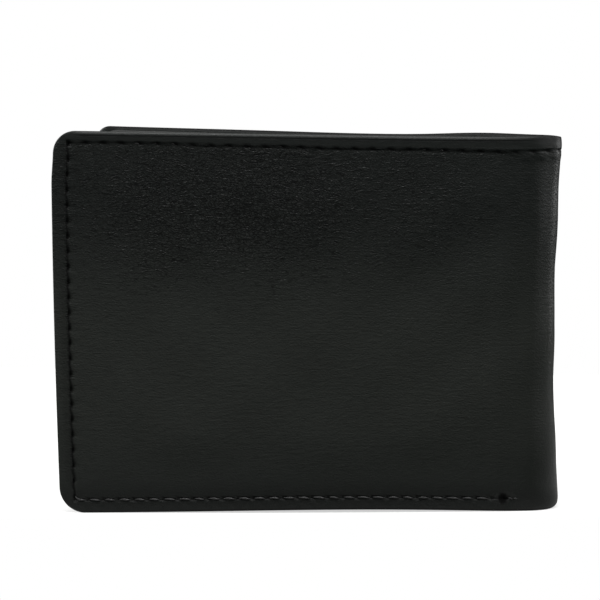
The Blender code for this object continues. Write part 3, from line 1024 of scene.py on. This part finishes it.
def add_partition(side):
    """The leather wall between the bill compartment and a half's pockets."""
    word = word_of[side]
    shape = outline(2.5, length_of[side] - 0.8, 0.8, 84.2, 2.5, 5.0, 6.0)
    partition = layer("partition_leather_" + word, side, shape, *plain_grid(shape, 0.8, 0.7), 2.0, 2.25, 0.8,
                      pocket_leather, soft_relief(side), seen_inside=True)
    inner[side].append((partition, "partition_" + word, "leather"))


print("the partition starts 2.25 mm behind the outer face")

# %% [markdown]
# Each card pocket is a strip of leather with a turned mouth and a crease line 2.2 mm below it, pressed
# with a hot iron. To save thickness a strip is sewn to a piece of thin fabric, the tee, that goes on
# down to the foot, and all of them lie on a fabric backing. Nobody sees most of that, so those pieces
# stay plain, and the strips get the detail.

# %% Backing, tees and pockets
cloth_foot = 1.2
pocket_start = 3.5
pocket_end_inset = 1.2
crease_below = 2.2
first_row = 5.5


def flat_relief(along, up):
    """No relief."""
    return np.zeros_like(along)


def mouth_relief(shape, last_row):
    """A pocket's strip: a crease under its mouth, a dent along its seams and a slight belly."""
    def raised(along, up):
        below = shape["high"] - crease_below - up
        total = -0.12 * dip(below, 0.22) - 0.05 * dip(below, 0.7)
        beat = np.cos(2 * math.pi * up / pocket_pitch)
        for row in (first_row, last_row):
            total = total - (0.16 + 0.06 * beat) * dip(along - row, 0.5)
        foot = np.cos(2 * math.pi * (along - first_row) / pocket_pitch)
        total = total - (0.16 + 0.06 * foot) * dip(up - foot_row, 0.5)
        belly = np.clip(np.minimum(along - first_row, last_row - along) / 6, 0, 1)
        total = total + 0.10 * belly * np.sin(np.pi * np.clip((up - shape["low"]) / 14, 0, 1))
        return total * np.clip(rim_distance(shape, along, up) / 0.5, 0, 1)
    return raised


def add_pocket_cloths(side):
    """The fabric backing of a half's pockets, and the tees of the two upper ones."""
    word, end = word_of[side], length_of[side] - pocket_end_inset
    for name, high, depth, thickness in [
        ("pocket_backing", 74.0, 3.30, 0.3), ("top_pocket_tee", 66.0, 3.85, 0.25),
        ("middle_pocket_tee", 54.0, 4.35, 0.25),
    ]:
        shape = outline(pocket_start, end, cloth_foot, high, 0.0, 0.8, 6.0)
        cloth = layer(name + "_cloth_" + word, side, shape, *plain_grid(shape, thickness, 1.5), 3.0, depth,
                      thickness, lining_cloth, flat_relief, seen_inside=True)
        fabrics.append((cloth, [name + "_" + word], (end - pocket_start, high - cloth_foot),
                        "partition_leather_" + word))


def add_pockets(side):
    """The three card pockets of a half."""
    word, length = word_of[side], length_of[side]
    end = length - pocket_end_inset
    for name, low, high, depth, foot in [
        ("top_pocket", 56.3, 68.0, 4.35, 0.8), ("middle_pocket", 44.3, 56.0, 4.85, 0.8),
        ("lowest_pocket", 1.2, 44.0, 4.85, 6.0),
    ]:
        shape = outline(pocket_start, end, low, high, 0.0, 0.8, foot)
        columns = with_rims(graded((pocket_start, 0.35), (8.0, 0.8), (length - 6.0, 0.35), end), 0.4, 0.4)
        rows = with_rims(graded((low, 0.8 if low > 40 else 0.35), (max(low, 5.0) + 0.4, 0.5),
                                (high - 4.0, 0.2), high), 0.4, 0.4)
        strip = layer(name + "_strip_" + word, side, shape, columns, rows, 2.0, depth, 0.8, pocket_leather,
                      mouth_relief(shape, side_row_of[side]), seen_inside=True)
        inner[side].append((strip, name + "_" + word, "leather"))


print("the crease lines lie", crease_below, "mm below the mouths")

# %% [markdown]
# One seam goes down beside the fold, along the foot and up the free side, and holds every pocket of a
# half. Its thread lies on the pockets' faces, which step back above the middle mouth.

# %% The inside of both halves
pocket_seam_top = 65.6


def pocket_face_depth(along, up):
    """How deep the pockets' faces lie."""
    return np.where(up > 56.1, 5.15, 5.65) - 0.02


for side in (front, rear):
    add_lining(side)
    add_partition(side)
    add_pocket_cloths(side)
    add_pockets(side)
    last_row = side_row_of[side]
    route = rounded_route([(first_row, pocket_seam_top), (first_row, foot_row), (last_row, foot_row),
                           (last_row, pocket_seam_top)], 1.5)
    row = sewn_row("pocket_stitches_" + word_of[side], side, route, pocket_pitch, pocket_face_depth,
                   out_way=1, slant=0.1)
    inner[side].append((row, "pocket_seam_" + word_of[side], "thread"))

# %% [markdown]
# The CAD parts that the new pieces stand for are hidden. The skin, the lining and the top row of
# stitches go round the fold; they stay where they are made and are joined to no half. Everything
# behind the skin rides on its half.

# %% Hide the CAD parts and join the inner pieces to their halves
for side in (front, rear):
    word = word_of[side]
    bending = [
        (outer_skin[side], ["outer_leather_" + word, "outer_leather_fold"], "leather"),
        (linings[side], ["bill_lining_" + word, "bill_lining_fold"], "lining"),
        (top_stitches[side], ["top_seam_" + word, "top_seam_fold"], "thread"),
    ]
    for obj, nodes, finish in bending:
        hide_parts(*nodes)
        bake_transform(obj)
    riding = inner[side] + [(row[side], "edge_seam_" + word, "thread")
                            for row in (edge_stitches, tack_stitches)]
    for obj, node_name, finish in riding:
        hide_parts(node_name)
        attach(obj, word + "_half")

for obj, nodes, size, rests in fabrics:
    if obj not in linings.values():
        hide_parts(*nodes)
        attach(obj, nodes[0].rsplit("_", 1)[1] + "_half")
print("sheets:", len(fabrics))

# %% [markdown]
# The photograph was taken from a little above and almost straight in front, with a long lens. The
# angles and the distance were worked out from the outline of the front half.

# %% Camera
view_turn, view_height, view_roll = math.radians(4.56), math.radians(5.78), math.radians(0.10)
view_distance = 0.550
aim = Vector((-0.00227, 0.0, 0.04671))
across = Vector((math.cos(view_turn), math.sin(view_turn), 0))
ahead = -Vector((math.sin(view_turn) * math.cos(view_height),
                 -math.cos(view_turn) * math.cos(view_height), math.sin(view_height)))
upward = across.cross(ahead)
right = math.cos(view_roll) * across + math.sin(view_roll) * upward
upward = -math.sin(view_roll) * across + math.cos(view_roll) * upward
camera_data = bpy.data.cameras.new("camera")
camera_data.sensor_width = 36
camera_data.lens = 144.9
camera = bpy.data.objects.new("camera", camera_data)
bpy.context.scene.collection.objects.link(camera)
turn = Matrix((right, upward, -ahead)).transposed().to_4x4()
camera.matrix_world = Matrix.Translation(aim - ahead * view_distance) @ turn
bpy.context.scene.camera = camera
print("camera at", [round(v, 3) for v in camera.matrix_world.translation])

# %% [markdown]
# Black leather shows what stands round it more than its own colour. So it is lit as a photographer
# would: a large soft lamp above the table's front edge, one at each side, a weak one low in front for
# the face, and two small ones behind, which draw the free edge and the fold as lighter lines.


# %% Lamps
def soft_lamp(name, place, size, power, target=(0, 0, 0.04)):
    """A rectangular area lamp that faces a target."""
    data = bpy.data.lights.new(name, "AREA")
    data.shape = "RECTANGLE"
    data.size, data.size_y = size
    data.energy = power
    lamp = bpy.data.objects.new(name, data)
    bpy.context.scene.collection.objects.link(lamp)
    lamp.location = place
    lamp.rotation_euler = (Vector(target) - Vector(place)).to_track_quat("-Z", "Y").to_euler()


soft_lamp("lamp_above", (0.0, -0.30, 0.80), (0.7, 0.4), 6.2)
soft_lamp("lamp_left", (-0.70, -0.28, 0.38), (0.4, 0.4), 3.4)
soft_lamp("lamp_right", (0.70, -0.28, 0.35), (0.4, 0.4), 2.4)
soft_lamp("lamp_in_front", (-0.03, -0.78, -0.08), (0.6, 0.4), 0.52)
soft_lamp("lamp_behind_left", (-0.65, 0.10, 0.30), (0.3, 0.3), 3.2)
soft_lamp("lamp_behind_fold", (0.60, 0.30, 0.22), (0.3, 0.3), 1.8)

# %% [markdown]
# The white room would be mirrored in the leather, so dark flags stand all round it, where the camera
# doesn't see them. The table ends just in front of the wallet, parallel to its front half, or its pale
# top would be mirrored low in the leather. Light Path picks out the rays of the camera, of gloss and of
# glass: for those the table has a share of plain white, and the rest of it takes the wallet's shadow.


# %% World, table and flags
def directly_seen(tree):
    """1 for rays from the camera, and for those that a glossy or clear surface sends on."""
    rays = add(tree, "LightPath").outputs
    glossy_or_clear = add(tree, "Math", larger, rays["Is Glossy Ray"], rays["Is Transmission Ray"])
    return add(tree, "Math", larger, rays["Is Camera Ray"], glossy_or_clear)


world = bpy.data.worlds.new("studio")
bpy.context.scene.world = world
world.use_nodes = True
world.node_tree.nodes.clear()
white = add(world.node_tree, "Background", Color=(1, 1, 1, 1), Strength=1.0)
out = world.node_tree.nodes.new("ShaderNodeOutputWorld")
world.node_tree.links.new(white.outputs[0], out.inputs["Surface"])


def stage_piece(name, points, faces, code, glow=0.0, seen_by_camera=True):
    """A plain matt piece of the studio. Its glow is the share of white that shade doesn't change."""
    mesh = bpy.data.meshes.new(name)
    mesh.from_pydata(points, [], faces)
    material, tree, out = new_material(name)
    matt = add(tree, "BsdfDiffuse", Color=colour(code))
    white = add(tree, "Emission", Color=(1, 1, 1, 1), Strength=1.0)
    share = add(tree, "Math", times, directly_seen(tree), glow)
    both = add(tree, "MixShader", None, share, matt, white)
    tree.links.new(both.outputs[0], out.inputs["Surface"])
    mesh.materials.append(material)
    obj = bpy.data.objects.new(name, mesh)
    bpy.context.scene.collection.objects.link(obj)
    obj.visible_camera = seen_by_camera
    return obj


table_left, table_right, table_back = -0.14, 0.10, 0.23
table_front = {x: -0.0232 + (x + 0.05) * math.tan(half_angle) for x in (table_left, table_right)}
corners = [(table_left, table_front[table_left], 0), (table_right, table_front[table_right], 0),
           (table_right, table_back, 0), (table_left, table_back, 0)]
table = stage_piece("table", corners, [(0, 1, 2, 3)], "eeeeec", 0.6)

flag_reach, flag_foot, flag_top, flag_count = 0.95, -0.6, 0.70, 48
turns = np.linspace(0, 2 * math.pi, flag_count, endpoint=False)
ring = [(flag_reach * math.cos(t), flag_reach * math.sin(t), z) for z in (flag_foot, flag_top) for t in turns]
walls = [(i, (i + 1) % flag_count, flag_count + (i + 1) % flag_count, flag_count + i)
         for i in range(flag_count)]
flags = stage_piece("black_flags", ring, walls + [tuple(range(flag_count))], "202020", seen_by_camera=False)

bpy.context.scene.view_settings.view_transform = "Standard"
print("stage:", table.name, flags.name)
